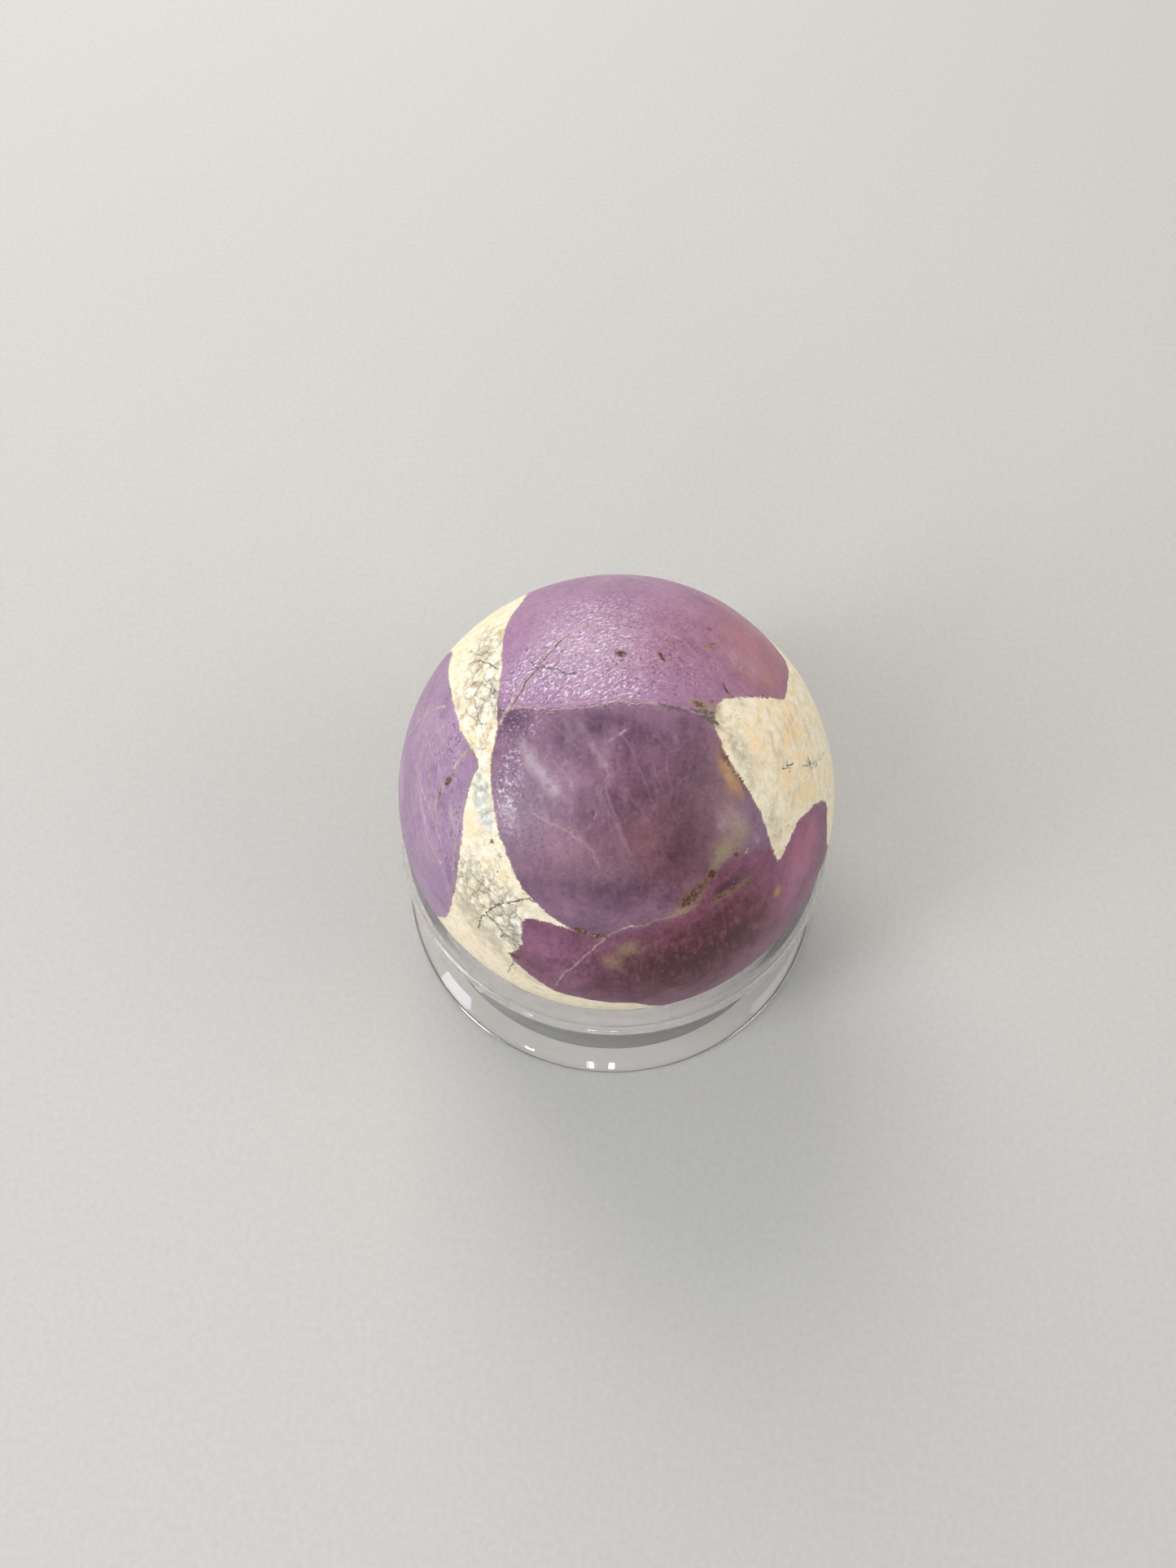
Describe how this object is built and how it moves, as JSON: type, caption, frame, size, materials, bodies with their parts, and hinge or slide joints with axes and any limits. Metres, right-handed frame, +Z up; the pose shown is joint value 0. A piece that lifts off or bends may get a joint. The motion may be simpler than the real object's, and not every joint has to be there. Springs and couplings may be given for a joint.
{
  "type": "polished purpurite ball on a clear ring stand",
  "caption": "Polished ball of purple purpurite broken up by bands of cream matrix, resting on a clear hourglass ring stand with a flared flat foot.",
  "frame": {"origin": "middle of the stand's flat foot, on the surface that it rests on", "axes": "+Z up along the ring's axis through the ball's middle; the side that shows the purple blocks best faces -Y"},
  "size_m": [0.0494, 0.0494, 0.0468],
  "materials": {
    "polished_purpurite": "satin polish, with cream matrix bands, brown stains and small open pits",
    "clear_plastic": "clear moulded, glossy, with faint handling scratches"
  },
  "bodies": {
    "root": {"purpurite_ball": "polished_purpurite", "ring_stand": "clear_plastic"}
  },
  "joints": []
}
